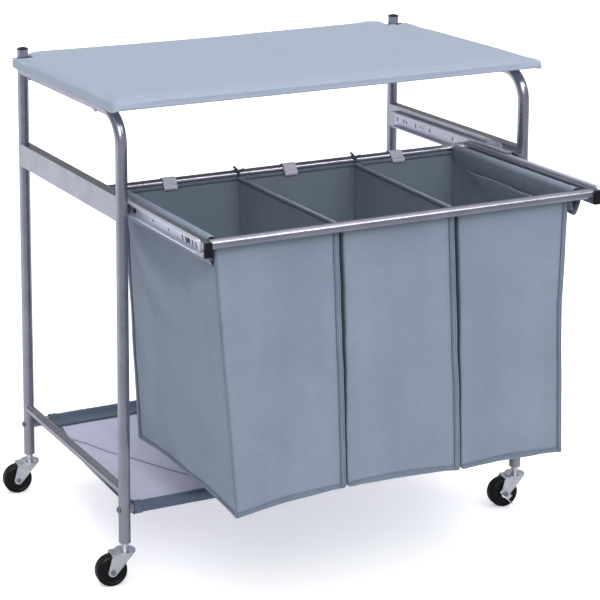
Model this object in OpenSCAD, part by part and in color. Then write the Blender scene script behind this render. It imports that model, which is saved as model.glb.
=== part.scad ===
// Rolling laundry cart: tube frame, padded ironing top, fabric shelf, and a
// pull-out drawer frame on ball-bearing slides that carries three fabric bags.
// Millimetres. Floor at z = 0, front is -Y, +X is the right side seen from the
// front. The drawer is drawn pulled fully out.

/* [Frame] */
// Distance between left and right post axes
post_gap_x = 743; // [700:1:800]
// Distance between front and back post axes
post_gap_y = 404; // [395:1:430]
// Outside diameter of the posts
tube_d = 19; // [18:0.5:22]
// Outside diameter of the lower rails and shelf tubes
thin_tube_d = 16; // [14:0.5:17]
// Wall thickness of all tubes
tube_wall = 1.2; // [1:0.1:1.6]
// Height of the lower end of the posts
post_z0 = 69; // [69:0.5:72]
// Height of the top rail axis
top_rail_z = 762; // [740:1:800]
// Centre-line radius of the bend at the top of the front posts
bend_r = 50; // [40:1:60]
// How far the back posts stand above the top rail axis
post_rise = 36.5; // [32:0.5:45]
// Height of the underside of the upper side rails
side_rail_z = 594.5; // [590:0.5:600]
// Height of the upper side rail section
side_rail_h = 39.4; // [36:0.2:45]
// Width of the upper side rail section
side_rail_w = 18; // [16:0.5:18]
// Height of the lower side rail axis
low_rail_z = 153; // [148:1:165]
// Height of the shelf tube axes
shelf_z = 124; // [118:1:126]

/* [Board] */
// Half width of the ironing top
board_half_x = 397; // [392:1:405]
// Distance from the centre to the front edge
board_front = 226; // [220:1:235]
// Distance from the centre to the back edge
board_back = 232; // [226:1:240]
// Thickness of the whole ironing top
board_t = 16; // [14:0.5:20]
// Thickness of the stiff panel inside it
panel_t = 7; // [5:0.5:9]
// Thickness of the cover cloth
cover_t = 1; // [0.8:0.1:1.5]

/* [Drawer] */
// How far the drawer is pulled out as drawn
drawer_out = 247; // [240:1:249]
// Height of the round bar axes
bar_z = 611; // [608:0.5:614]
// Diameter of the round bars
bar_d = 16; // [14:0.5:18]
// Height of the drawer side rail section
drawer_rail_h = 22; // [20:0.5:24]
// Width of the drawer side rail section
drawer_rail_w = 13; // [12:0.5:14]
// Height of the drawer side rail underside
drawer_rail_z = 595; // [594:0.5:598]
// Distance between front and back bar axes
bar_gap_y = 351; // [349:1:353]

/* [Slides] */
// Length of each slide member
slide_len = 360; // [350:1:360]
// Thickness of the closed slide
slide_t = 12.7; // [12.7:0.1:13.2]
// Height of the outer slide member
slide_h = 28; // [27.6:0.2:28.8]
// Sheet thickness of the slide members
slide_sheet = 1.2; // [1:0.1:1.3]
// Number of balls in each row
balls_per_row = 6; // [4:1:8]

/* [Bags] */
// Depth of each bag, front to back
bag_depth = 332; // [323:1:333]
// Height of the bag bottoms
bag_bottom_z = 191; // [185:1:230]
// Height of the bag rims
bag_rim_z = 601; // [600:0.5:603]
// Thickness of the bag cloth
cloth_t = 1.5; // [1:0.1:2]
// How much the outer bag sides lean in towards the bottom
bag_lean = 20; // [0:1:20]

/* [Casters] */
// Wheel diameter
wheel_d = 51; // [48:0.5:51]
// Wheel width
wheel_w = 19; // [17:0.5:19]
// Offset of the wheel axle behind the swivel axis
trail = 23.3; // [21:0.1:24]
// Direction the wheels trail in, from +X
swivel_angle = 173; // [0:1:359]

/* [Hidden] */
$fn = 48;
px = post_gap_x / 2;
py = post_gap_y / 2;
tr = tube_d / 2;
thin_r = thin_tube_d / 2;
joint_gap = 0.03;
post_top = top_rail_z + post_rise;
rail_in = px - side_rail_w / 2;
board_z = top_rail_z + tr;
board_top = board_z + board_t;
panel_z = board_z + cover_t + 0.1;
pad_z = panel_z + panel_t;
edge_gap = cover_t + 0.2;
panel_inset = 5;
hem_w = 42;
notch_in = 12.5;
bar_r = bar_d / 2;
bar_y = -py + 21 - drawer_out;
bar_back_y = bar_y + bar_gap_y;
dr_out = rail_in - slide_t;
dr_in = dr_out - drawer_rail_w;
dr_front = bar_y - 8;
dr_back = bar_back_y + 8;
plug_t = 4;
slide_z = 610;
slide_open_y = -py + 18;
inner_y0 = bar_y;
inner_h = 20;
ball_r = 1.3;
cage_len = 98;
cage_y0 = slide_open_y + 3;
slide_axis_z = slide_z;
rod_r = 4;
rod_left = -326;
rod_right = 317;
sleeve_r = 7.5;
sleeve_in_r = 6.2;
bag_y0 = bar_y + bar_r + 1;
bag_y1 = bag_y0 + bag_depth;
seam_left = -109;
seam_right = 100;
seam_lean = 3;
bag_gap = 1;
loop_xs = [-232, -9, 199];
loop_w = 24;
tie_xs = [-106, 117];
shelf_half = 332;
wheel_r = wheel_d / 2;
cheek_t = 1.8;
cheek_in = wheel_w / 2 + 1;
cheek_out = cheek_in + cheek_t;
plate_z = 52.2;
plate_t = 1.8;
race_z = plate_z + plate_t + 0.1;
race_r = 16.8;
axle_r = 3;
steel = [0.60, 0.60, 0.66];
zinc = [0.78, 0.79, 0.82];
black = [0.06, 0.06, 0.07];
cloth = [0.50, 0.57, 0.64];
cloth_dark = [0.32, 0.40, 0.47];
tread_half = wheel_w / 2 - 4;
wheel_reach = wheel_r * abs(cos(swivel_angle)) + tread_half * abs(sin(swivel_angle));
x_lo = min(-board_half_x, -px + trail * cos(swivel_angle) - wheel_reach);
x_hi = max(board_half_x, px + trail * cos(swivel_angle) + wheel_reach);
shift_x = -(x_lo + x_hi) / 2;
shift_y = -(board_back + dr_front - plug_t) / 2;
corners = [[-1, -1], [1, -1], [-1, 1], [1, 1]];

// ---------- helpers ----------

// Moves a piece from the cart's own centre lines to the part's origin.
module put() {
  translate([shift_x, shift_y, 0]) children();
}

// Round bar or tube blank along +X, +Y or +Z from a start point.
module rod_x(p, len, r) {
  translate(p) rotate([0, 90, 0]) cylinder(h = len, r = r);
}

module rod_y(p, len, r) {
  translate(p) rotate([-90, 0, 0]) cylinder(h = len, r = r);
}

// A section drawn in X and Z, drawn out along Y from y0 for len.
module along_y(y0, len) {
  translate([0, y0 + len, 0]) rotate([90, 0, 0]) linear_extrude(height = len) children();
}

// The right-hand copy of a left-hand piece.
module right_side() {
  translate([2 * shift_x, 0, 0]) mirror([1, 0, 0]) children();
}

// ---------- frame ----------

module bent_blank(r, z0, y1) {
  translate([-px, -py, z0]) cylinder(h = top_rail_z - bend_r - z0, r = r);
  translate([-px, -py + bend_r, top_rail_z - bend_r])
    rotate([0, 0, 90]) rotate([90, 0, 0]) rotate([0, 0, 90])
      rotate_extrude(angle = 90) translate([bend_r, 0]) circle(r = r);
  rod_y([-px, -py + bend_r, top_rail_z], y1 + py - bend_r, r);
}

module left_bent_tube() {
  color(steel) put() difference() {
    bent_blank(tr, post_z0, py);
    bent_blank(tr - tube_wall, post_z0 - 1, py + 1);
    translate([-px, py, top_rail_z - 40]) cylinder(h = 80, r = tr);
    shelf_bolt_hole(-1, -1);
    for (y = board_screw_ys) {
      translate([-px, y, top_rail_z - 20]) cylinder(h = 40, r = 2.1);
    }
  }
}

module right_bent_tube() {
  right_side() left_bent_tube();
}

module left_back_post() {
  color(steel) put() difference() {
    translate([-px, py, post_z0]) cylinder(h = post_top - post_z0, r = tr);
    translate([-px, py, post_z0 - 1]) cylinder(h = post_top, r = tr - tube_wall);
    shelf_bolt_hole(-1, 1);
  }
}

module right_back_post() {
  right_side() left_back_post();
}

module left_upper_rail() {
  color(steel) put() difference() {
    translate([-px - side_rail_w / 2, -py, side_rail_z])
      cube([side_rail_w, 2 * py, side_rail_h]);
    translate([-px - side_rail_w / 2 + tube_wall, -py - 1, side_rail_z + tube_wall])
      cube([side_rail_w - 2 * tube_wall, 2 * py + 2, side_rail_h - 2 * tube_wall]);
    for (s = [-1, 1]) {
      translate([-px, s * py, side_rail_z - 1]) cylinder(h = side_rail_h + 2, r = tr);
    }
    for (y = outer_screw_ys) {
      rod_x([-rail_in - 3, y, slide_axis_z], 6, 2.1);
    }
    outer_slots();
  }
}

module right_upper_rail() {
  right_side() left_upper_rail();
}

module left_lower_rail() {
  color(steel) put() difference() {
    rod_y([-px, -py, low_rail_z], 2 * py, thin_r);
    rod_y([-px, -py - 1, low_rail_z], 2 * py + 2, thin_r - tube_wall);
    for (s = [-1, 1]) {
      translate([-px, s * py, low_rail_z - 15]) cylinder(h = 30, r = tr);
    }
  }
}

module right_lower_rail() {
  right_side() left_lower_rail();
}

module post_caps() {
  color(black) put() for (s = [-1, 1]) translate([s * px, py, post_top]) {
    intersection() {
      cylinder(h = 4, r = tr + 0.3);
      translate([0, 0, -16]) sphere(r = 20);
    }
    translate([0, 0, -12]) cylinder(h = 12.5, r = tr - tube_wall - 0.1);
  }
}

// Plastic socket in the foot of each post that grips the caster stem.
module stem_sockets() {
  color(black) put() for (c = corners) translate([c[0] * px, c[1] * py, post_z0]) {
    difference() {
      cylinder(h = 32, r = tr - tube_wall - 0.1);
      translate([0, 0, -1]) cylinder(h = 31, r = 4.1);
    }
  }
}

// ---------- shelf ----------

module shelf_bolt_hole(sx, sy) {
  rod_x([sx * px - 14, sy * py, shelf_z], 28, 3.1);
}

module shelf_tube(y) {
  color(steel) put() difference() {
    rod_x([-px, y, shelf_z], 2 * px, thin_r);
    rod_x([-px + 30, y, shelf_z], 2 * px - 60, thin_r - tube_wall);
    for (s = [-1, 1]) {
      translate([s * px, y, shelf_z - 20]) cylinder(h = 40, r = tr + joint_gap);
      rod_x([s * px - 31, y, shelf_z], 62, 3.1);
    }
  }
}

module front_shelf_tube() {
  shelf_tube(-py);
}

module back_shelf_tube() {
  shelf_tube(py);
}

// Bolts through the posts into the plugged ends of the shelf tubes.
module shelf_bolts() {
  color(zinc) put() for (c = corners) translate([0, c[1] * py, shelf_z]) {
    mirror([c[0] > 0 ? 0 : 1, 0, 0]) {
      rod_x([px - 28, 0, 0], 28 + tr + 0.5, 3);
      rod_x([px + tr, 0, 0], 1.6, 5);
      translate([px + tr + 1.6, 0, 0]) rotate([0, 90, 0]) cylinder(h = 1.8, r1 = 5, r2 = 2.6);
    }
  }
}

// Cloth shelf: a sheet with a sleeve round each shelf tube.
module shelf_fabric() {
  color([0.66, 0.68, 0.76]) put() difference() {
    union() {
      for (s = [-1, 1]) {
        rod_x([-shelf_half, s * py, shelf_z], 2 * shelf_half, thin_r + 1.2);
      }
      translate([-shelf_half, -py, shelf_z - 0.8])
        cube([2 * shelf_half, 2 * py, 1.6]);
    }
    for (s = [-1, 1]) {
      rod_x([-shelf_half - 1, s * py, shelf_z], 2 * shelf_half + 2, thin_r + 0.05);
    }
  }
}

// ---------- ironing top ----------

board_screw_ys = [-108, 172];

// Outline of the top, drawn in from the cover edge by e. Each back corner is
// slotted so that the back post can pass.
module board_outline(e) {
  x = board_half_x - e;
  f = board_front - e;
  b = board_back - e;
  n0 = px - notch_in - e;
  n1 = px + notch_in + e;
  ny = py - notch_in - e;
  polygon([[-x + 6, -f], [x - 6, -f], [x, -f + 6], [x, py - 8 - e],
           [n1 + 0.01, py + 1 - e], [n1, ny], [n0, ny], [n0, b - 10],
           [n0 - 14, b], [-n0 + 14, b], [-n0, b - 10], [-n0, ny],
           [-n1, ny], [-n1 - 0.01, py + 1 - e], [-x, py - 8 - e], [-x, -f + 6]]);
}

module board_panel() {
  color([0.55, 0.45, 0.33]) put() difference() {
    translate([0, 0, panel_z]) linear_extrude(height = panel_t) board_outline(panel_inset);
    for (s = [-1, 1]) for (y = board_screw_ys) {
      translate([s * px, y, panel_z - 1]) cylinder(h = 6.5, r = 2.1);
    }
  }
}

module board_pad() {
  color([0.85, 0.85, 0.83]) put()
    translate([0, 0, pad_z])
      linear_extrude(height = board_top - cover_t - 0.1 - pad_z) board_outline(edge_gap);
}

// Cover cloth: over the top, down the edges and turned under as a hem.
module board_cover() {
  color([0.66, 0.72, 0.79]) put() difference() {
    translate([0, 0, board_z]) linear_extrude(height = board_t) board_outline(0);
    translate([0, 0, board_z + cover_t])
      linear_extrude(height = board_t - 2 * cover_t) board_outline(cover_t);
    translate([0, 0, board_z - 1]) linear_extrude(height = 3) hem_opening();
    for (s = [-1, 1]) for (y = board_screw_ys) {
      translate([s * px, y, board_z - 1]) cylinder(h = 3, r = 2.1);
    }
  }
}

module hem_opening() {
  x = px - notch_in - hem_w;
  translate([-x, -board_front + hem_w]) square([2 * x, board_front + board_back - 2 * hem_w]);
}

// Screws from under the top rails into the panel.
module board_screws() {
  color(zinc) put() for (s = [-1, 1]) for (y = board_screw_ys) translate([s * px, y, 0]) {
    translate([0, 0, top_rail_z - tr - 1]) cylinder(h = 2 * tr + cover_t + 5.4, r = 2);
    translate([0, 0, top_rail_z - tr - 1.6]) cylinder(h = 1.6, r = 4.5);
    translate([0, 0, top_rail_z - tr - 3]) cylinder(h = 1.4, r1 = 2.6, r2 = 4.5);
  }
}

// ---------- slides ----------

outer_screw_ys = [-150, 148];
inner_screw_ys = [-389, -207];
inner_hole_ys = [-325, -271];

function c_section(x0, dir, depth, h, t, lip) = [
  [x0, -h / 2], [x0 + dir * depth, -h / 2], [x0 + dir * depth, -h / 2 + t + lip],
  [x0 + dir * (depth - t), -h / 2 + t + lip], [x0 + dir * (depth - t), -h / 2 + t],
  [x0 + dir * t, -h / 2 + t], [x0 + dir * t, h / 2 - t],
  [x0 + dir * (depth - t), h / 2 - t], [x0 + dir * (depth - t), h / 2 - t - lip],
  [x0 + dir * depth, h / 2 - t - lip], [x0 + dir * depth, h / 2], [x0, h / 2]
];

// Small slots punched through the outer member and the wall behind it.
module outer_slots() {
  for (y = [-13, 59, 105, 166]) {
    translate([-rail_in - tube_wall - 1, y, slide_axis_z - 3.5]) cube([tube_wall + 4, 3, 7]);
  }
  for (y = [81, 91, 136]) {
    translate([-rail_in - tube_wall - 1, y, slide_axis_z - 2.5]) cube([tube_wall + 4, 2, 5]);
  }
}

// Outer member, screwed to the inside of the upper rail. It has a lug near its front end.
module left_slide_outer() {
  lug = [[27, -1], [71, -1], [66, 8], [30, 8], [27, 5]];
  top = slide_axis_z + slide_h / 2;
  color(zinc) put() difference() {
    union() {
      along_y(slide_open_y, slide_len)
        translate([0, slide_axis_z])
          polygon(c_section(-rail_in, 1, 11, slide_h, slide_sheet, 0.5));
      translate([-rail_in, slide_open_y, top])
        rotate([90, 0, 90]) linear_extrude(slide_sheet) polygon(lug);
    }
    for (y = outer_screw_ys) {
      rod_x([-rail_in - 1, y, slide_axis_z], 4, 2.1);
    }
    for (y = [32, 39]) {
      translate([-rail_in - 1, slide_open_y + y, top + 1.5]) cube([4, 2.6, 4.5]);
    }
    outer_slots();
  }
}

module right_slide_outer() {
  right_side() left_slide_outer();
}

module slide_rail_screws() {
  color(zinc) put() for (s = [0, 1]) mirror([s, 0, 0]) for (y = outer_screw_ys) {
    rod_x([-rail_in - 5, y, slide_axis_z], 5 + slide_sheet + 0.3, 2);
    rod_x([-rail_in + slide_sheet, y, slide_axis_z], 1.3, 3.8);
  }
}

// Inner member, screwed to the outside of the drawer side rail.
module left_slide_inner() {
  color(zinc) put() difference() {
    along_y(inner_y0, slide_len)
      translate([0, slide_axis_z])
        polygon(c_section(-dr_out, -1, 7.6, inner_h, slide_sheet, 1.2));
    for (y = inner_screw_ys) {
      rod_x([-dr_out - 3, y, slide_axis_z], 4, 2.1);
    }
    for (y = inner_hole_ys) {
      rod_x([-dr_out - 3, y, slide_axis_z], 4, 2.4);
    }
    for (i = [0:4]) {
      translate([-dr_out, inner_y0 + 13 + i * 11, slide_axis_z])
        rotate([-25, 0, 0]) cube([4, 4, 11.5], center = true);
    }
    for (s = [-1, 1]) {
      translate([-dr_out - 4, inner_y0, slide_axis_z + s * inner_h / 2])
        rotate([45, 0, 0]) cube([20, 5, 5], center = true);
    }
  }
}

module right_slide_inner() {
  right_side() left_slide_inner();
}

module drawer_slide_screws() {
  color(zinc) put() for (s = [0, 1]) mirror([s, 0, 0]) for (y = inner_screw_ys) {
    rod_x([-dr_out - slide_sheet - 0.3, y, slide_axis_z], 5 + slide_sheet, 2);
    rod_x([-dr_out - slide_sheet - 1.6, y, slide_axis_z], 1.6, 3.8);
  }
}

// Ball cage that runs between the two members of a slide.
cage_x = -rail_in + 3.4;
ball_x = -rail_in + 7;
ball_zs = [slide_axis_z - 11.4, slide_axis_z + 11.4];

function ball_y(i) = cage_y0 + 7 + i * (cage_len - 14) / (balls_per_row - 1);

module left_ball_cage() {
  color([0.72, 0.73, 0.75]) put() difference() {
    union() {
      translate([cage_x, cage_y0, slide_axis_z - 11.7]) cube([0.6, cage_len, 23.4]);
      for (s = [0, 1]) translate([cage_x, cage_y0, slide_axis_z - 11.7 + s * 22.8]) {
        cube([6.4, cage_len, 0.6]);
      }
    }
    for (z = ball_zs) for (i = [0:balls_per_row - 1]) {
      translate([ball_x, ball_y(i), z - 2]) cylinder(h = 4, r = ball_r + 0.05);
    }
  }
}

module right_ball_cage() {
  right_side() left_ball_cage();
}

module left_slide_balls() {
  color(zinc) put() for (z = ball_zs) for (i = [0:balls_per_row - 1]) {
    translate([ball_x, ball_y(i), z]) sphere(r = ball_r);
  }
}

module right_slide_balls() {
  right_side() left_slide_balls();
}

// ---------- drawer ----------

module left_drawer_rail() {
  color(steel) put() difference() {
    translate([-dr_out, dr_front, drawer_rail_z])
      cube([drawer_rail_w, dr_back - dr_front, drawer_rail_h]);
    translate([-dr_out + tube_wall, dr_front - 1, drawer_rail_z + tube_wall])
      cube([drawer_rail_w - 2 * tube_wall, dr_back - dr_front + 2,
            drawer_rail_h - 2 * tube_wall]);
    for (y = inner_screw_ys) {
      rod_x([-dr_out - 2, y, slide_axis_z], 4, 2.1);
    }
    for (y = inner_hole_ys) {
      rod_x([-dr_out - 2, y, slide_axis_z], 4, 2.2);
    }
    // Window behind the slots of the slide's inner member.
    translate([-dr_out - 1, inner_y0 + 8, slide_axis_z - 6]) cube([1.3 + tube_wall, 54, 12]);
  }
}

module right_drawer_rail() {
  right_side() left_drawer_rail();
}

module drawer_bar(y) {
  color(steel) put() difference() {
    rod_x([-dr_in, y, bar_z], 2 * dr_in, bar_r);
    rod_x([-dr_in - 1, y, bar_z], 2 * dr_in + 2, bar_r - tube_wall);
  }
}

module drawer_front_bar() {
  drawer_bar(bar_y);
}

module drawer_back_bar() {
  drawer_bar(bar_back_y);
}

// Square plastic plugs in both ends of both side rails.
module drawer_rail_plugs() {
  w = drawer_rail_w - 2 * tube_wall - 0.2;
  h = drawer_rail_h - 2 * tube_wall - 0.2;
  color(black) put() for (s = [0, 1]) mirror([s, 0, 0]) {
    translate([-dr_out, dr_front - plug_t, drawer_rail_z])
      cube([drawer_rail_w, plug_t, drawer_rail_h]);
    translate([-dr_out + tube_wall + 0.1, dr_front - 1, drawer_rail_z + tube_wall + 0.1])
      cube([w, 13, h]);
    translate([-dr_out, dr_back, drawer_rail_z])
      cube([drawer_rail_w, plug_t, drawer_rail_h]);
    translate([-dr_out + tube_wall + 0.1, dr_back - 12, drawer_rail_z + tube_wall + 0.1])
      cube([w, 13, h]);
  }
}

// Rods that the side sleeves of the bags are threaded on.
module bag_rod(x) {
  color(steel) put() difference() {
    rod_y([x, bar_y, bar_z], bar_gap_y, rod_r);
    rod_x([x - 10, bar_y, bar_z], 20, bar_r);
    rod_x([x - 10, bar_back_y, bar_z], 20, bar_r);
  }
}

module left_bag_rod() {
  bag_rod(rod_left);
}

module right_bag_rod() {
  bag_rod(rod_right);
}

// ---------- bags ----------

// Open bag. xa and xb are the sides at the rim, xc and xd at the bottom.
module bag(xa, xb, xc, xd) {
  h = bag_rim_z - bag_bottom_z;
  ka = (xc - xa) / h * cloth_t;
  kb = (xd - xb) / h * cloth_t;
  difference() {
    along_y(bag_y0, bag_depth)
      polygon([[xc, bag_bottom_z], [xd, bag_bottom_z], [xb, bag_rim_z], [xa, bag_rim_z]]);
    along_y(bag_y0 + cloth_t, bag_depth - 2 * cloth_t)
      polygon([[xc - ka + cloth_t, bag_bottom_z + cloth_t],
               [xd - kb - cloth_t, bag_bottom_z + cloth_t],
               [xb - cloth_t, bag_rim_z + 0.01], [xb - cloth_t, bag_rim_z + 2],
               [xa + cloth_t, bag_rim_z + 2], [xa + cloth_t, bag_rim_z + 0.01]]);
  }
}

// Sleeve and flap that hang a bag side on its rod. side is -1 left, 1 right.
module bag_sleeve(x, side) {
  y0 = bag_y0 + 4;
  len = bag_depth - 8;
  wall_x = x - side * (sleeve_r - 0.4) - (side > 0 ? 0 : cloth_t);
  flap_x = x + side * (sleeve_r - 1.5) - (side > 0 ? 0 : 1.3);
  difference() {
    union() {
      rod_y([x, y0, bar_z], len, sleeve_r);
      translate([wall_x, y0, bag_rim_z - 3]) cube([cloth_t, len, bar_z - bag_rim_z + 3]);
      translate([flap_x, y0, bar_z - 36]) cube([1.3, len, 36]);
    }
    rod_y([x, y0 - 1, bar_z], len + 2, sleeve_in_r);
  }
}

module left_bag() {
  xa = rod_left + sleeve_r - 1.2;
  color(cloth) put() union() {
    bag(xa, seam_left - bag_gap, xa + bag_lean, seam_left - bag_gap + seam_lean);
    bag_sleeve(rod_left, -1);
  }
}

module middle_bag() {
  color(cloth) put() bag(seam_left + bag_gap, seam_right - bag_gap,
                   seam_left + bag_gap + seam_lean, seam_right - bag_gap + 3);
}

module right_bag() {
  xb = rod_right - sleeve_r + 1.2;
  color(cloth) put() union() {
    bag(seam_right + bag_gap, xb, seam_right + bag_gap + 3, xb - bag_lean + 3);
    bag_sleeve(rod_right, 1);
  }
}

// Cloth loops that hang the bag backs on the back bar.
module bag_loops() {
  color([0.66, 0.68, 0.74]) put() for (x = loop_xs) {
    difference() {
      union() {
        rod_x([x - loop_w / 2, bar_back_y, bar_z], loop_w, bar_r + 1.4);
        translate([x - loop_w / 2, bag_y1 + 0.1, bar_z - 32]) cube([loop_w, 1.3, 32]);
      }
      rod_x([x - loop_w, bar_back_y, bar_z], 2 * loop_w, bar_r + 0.1);
    }
  }
}

// Narrow tapes that tie the bag dividers to the back bar.
module divider_ties() {
  color(cloth_dark) put() for (x = tie_xs) {
    difference() {
      union() {
        rod_x([x - 2.5, bar_back_y, bar_z], 5, bar_r + 0.9);
        translate([x - 2.5, bag_y1 + 0.1, bar_z - 26]) cube([5, 1.1, 26]);
        translate([x - 2.5, bar_back_y - 2, bar_z + bar_r - 0.5]) cube([5, 1, 8]);
      }
      rod_x([x - 4, bar_back_y, bar_z], 8, bar_r + 0.1);
    }
  }
}

// ---------- casters ----------
// Drawn with the swivel axis on Z and the wheel trailing towards +X.

module at_post(c) {
  put() translate([c[0] * px, c[1] * py, 0]) rotate([0, 0, swivel_angle]) children();
}

module stem() {
  color(zinc) {
    translate([0, 0, post_z0 - 0.5]) cylinder(h = 28, r = 4);
    translate([0, 0, race_z + 4]) cylinder(h = post_z0 - race_z - 4, r = 6);
    translate([0, 0, race_z]) cylinder(h = 2.6, r = race_r);
    translate([0, 0, race_z + 2.6]) cylinder(h = 1.4, r1 = race_r - 1, r2 = 9);
    translate([0, 0, plate_z - 1]) cylinder(h = 2 + plate_t, r = 4);
    translate([0, 0, plate_z - 2.6]) cylinder(h = 2.5, r = 6.5);
  }
}

// One cheek, drawn in X and Z.
module cheek_shape() {
  polygon([[-11, plate_z + 0.5], [21.4, plate_z + 0.5], [24.6, plate_z - 2.2],
           [trail + 7.2, wheel_r + 2],
           [trail + 1, wheel_r - 7], [trail - 5.6, wheel_r - 5]]);
  translate([trail, wheel_r]) circle(r = 7.5);
}

module fork() {
  color(zinc) difference() {
    union() {
      translate([0, 0, plate_z]) cylinder(h = plate_t, r = race_r - 1.4);
      translate([0, -cheek_out, plate_z]) cube([21, 2 * cheek_out, plate_t]);
      translate([0, 4 - cheek_out, plate_z]) cube([25, 2 * cheek_out - 8, plate_t]);
      for (s = [-1, 1]) {
        translate([21, s * (cheek_out - 4), plate_z]) cylinder(h = plate_t, r = 4);
      }
      along_y(-cheek_out, cheek_t) cheek_shape();
      along_y(cheek_in, cheek_t) cheek_shape();
    }
    translate([0, 0, plate_z - 1]) cylinder(h = plate_t + 2, r = 4.1);
    rod_y([trail, -cheek_out - 1, wheel_r], 2 * cheek_out + 2, axle_r + 0.1);
  }
}

// extra is the room left on the axle for the brake plate.
module axle(extra) {
  head_y = cheek_out + extra + 0.1;
  color(zinc) {
    rod_y([trail, -cheek_out - 0.2, wheel_r], head_y + cheek_out + 0.5, axle_r);
    rod_y([trail, -cheek_out - 2.2, wheel_r], 2.1, 4.4);
    rod_y([trail, head_y, wheel_r], 2.1, 4.4);
  }
}

// Wheel with rounded tread edges and a shallow recess in each face.
module wheel() {
  h = wheel_w / 2;
  color(black) translate([trail, 0, wheel_r]) rotate([90, 0, 0])
    rotate_extrude() polygon([
      [axle_r + 0.06, -h], [9, -h], [9, -h + 1.2], [wheel_r - 7, -h + 1.2],
      [wheel_r - 5.5, -h], [wheel_r - 3, -h], [wheel_r - 0.8, -h + 1.4],
      [wheel_r, -h + 4], [wheel_r, h - 4], [wheel_r - 0.8, h - 1.4],
      [wheel_r - 3, h], [wheel_r - 5.5, h], [wheel_r - 7, h - 1.2],
      [9, h - 1.2], [9, h], [axle_r + 0.06, h]]);
}

// Side brake: a plate on the axle outside the cheek, with a foot tab.
module brake() {
  color(zinc) difference() {
    union() {
      along_y(cheek_out + 0.15, 1.3) {
        translate([trail, wheel_r]) circle(r = 7);
        translate([trail, wheel_r]) rotate(45) translate([0, -5]) square([11, 10]);
        translate([trail, wheel_r]) rotate(45) translate([-12, -5.5]) square([12, 11]);
      }
      translate([trail, cheek_out + 0.15, wheel_r]) rotate([0, -45, 0])
        translate([-19, 0, -5.5]) cube([14, 11, 1.3]);
    }
    rod_y([trail, cheek_out - 1, wheel_r], 20, axle_r + 0.1);
  }
}

module front_left_stem() { at_post(corners[0]) stem(); }
module front_right_stem() { at_post(corners[1]) stem(); }
module back_left_stem() { at_post(corners[2]) stem(); }
module back_right_stem() { at_post(corners[3]) stem(); }
module front_left_fork() { at_post(corners[0]) fork(); }
module front_right_fork() { at_post(corners[1]) fork(); }
module back_left_fork() { at_post(corners[2]) fork(); }
module back_right_fork() { at_post(corners[3]) fork(); }
module front_left_axle() { at_post(corners[0]) axle(0); }
module front_right_axle() { at_post(corners[1]) axle(1.6); }
module back_left_axle() { at_post(corners[2]) axle(0); }
module back_right_axle() { at_post(corners[3]) axle(1.6); }
module front_left_wheel() { at_post(corners[0]) wheel(); }
module front_right_wheel() { at_post(corners[1]) wheel(); }
module back_left_wheel() { at_post(corners[2]) wheel(); }
module back_right_wheel() { at_post(corners[3]) wheel(); }
module front_right_brake() { at_post(corners[1]) brake(); }
module back_right_brake() { at_post(corners[3]) brake(); }

left_bent_tube();
right_bent_tube();
left_back_post();
right_back_post();
left_upper_rail();
right_upper_rail();
left_lower_rail();
right_lower_rail();
post_caps();
stem_sockets();
front_shelf_tube();
back_shelf_tube();
shelf_bolts();
shelf_fabric();
board_panel();
board_pad();
board_cover();
board_screws();
left_slide_outer();
right_slide_outer();
slide_rail_screws();
left_ball_cage();
right_ball_cage();
left_slide_balls();
right_slide_balls();
left_drawer_rail();
right_drawer_rail();
drawer_front_bar();
drawer_back_bar();
drawer_rail_plugs();
left_bag_rod();
right_bag_rod();
left_slide_inner();
right_slide_inner();
drawer_slide_screws();
left_bag();
middle_bag();
right_bag();
bag_loops();
divider_ties();
front_left_stem();
front_right_stem();
back_left_stem();
back_right_stem();
front_left_fork();
front_right_fork();
back_left_fork();
back_right_fork();
front_left_axle();
front_right_axle();
back_left_axle();
back_right_axle();
front_left_wheel();
front_right_wheel();
back_left_wheel();
back_right_wheel();
front_right_brake();
back_right_brake();
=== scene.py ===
# Looks for the laundry cart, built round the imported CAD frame. Metres, +Z up,
# front is -Y. Steel, plastic and zinc parts keep their CAD shape and get their
# finish here. Everything sewn is built here as cloth: three bags, the shelf
# sheet, the padded top, the loops and the ties.
import math

import bmesh
import bpy
from mathutils import Matrix, Vector, noise


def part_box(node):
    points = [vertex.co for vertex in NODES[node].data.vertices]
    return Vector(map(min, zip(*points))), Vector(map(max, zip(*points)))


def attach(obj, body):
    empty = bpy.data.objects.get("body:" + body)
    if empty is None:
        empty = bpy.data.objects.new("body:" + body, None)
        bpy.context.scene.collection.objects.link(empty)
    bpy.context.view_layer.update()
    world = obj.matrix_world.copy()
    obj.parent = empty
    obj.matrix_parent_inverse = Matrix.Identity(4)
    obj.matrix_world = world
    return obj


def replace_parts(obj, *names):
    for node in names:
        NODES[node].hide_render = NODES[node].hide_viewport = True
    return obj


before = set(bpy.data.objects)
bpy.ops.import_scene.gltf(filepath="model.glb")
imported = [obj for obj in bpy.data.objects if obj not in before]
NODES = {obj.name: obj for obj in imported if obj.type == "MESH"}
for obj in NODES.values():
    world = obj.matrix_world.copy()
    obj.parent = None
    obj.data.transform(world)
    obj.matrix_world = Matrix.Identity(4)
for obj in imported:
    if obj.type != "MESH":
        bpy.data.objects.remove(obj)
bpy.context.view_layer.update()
SCENE = bpy.context.scene
MM = 0.001


# ---------- places taken from the frame ----------

def middle(node):
    lo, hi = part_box(node)
    return (lo + hi) / 2


def shared_x():
    """X of the cart's own centre line."""
    return (middle("left_bent_tube").x + middle("right_bent_tube").x) / 2


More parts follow.
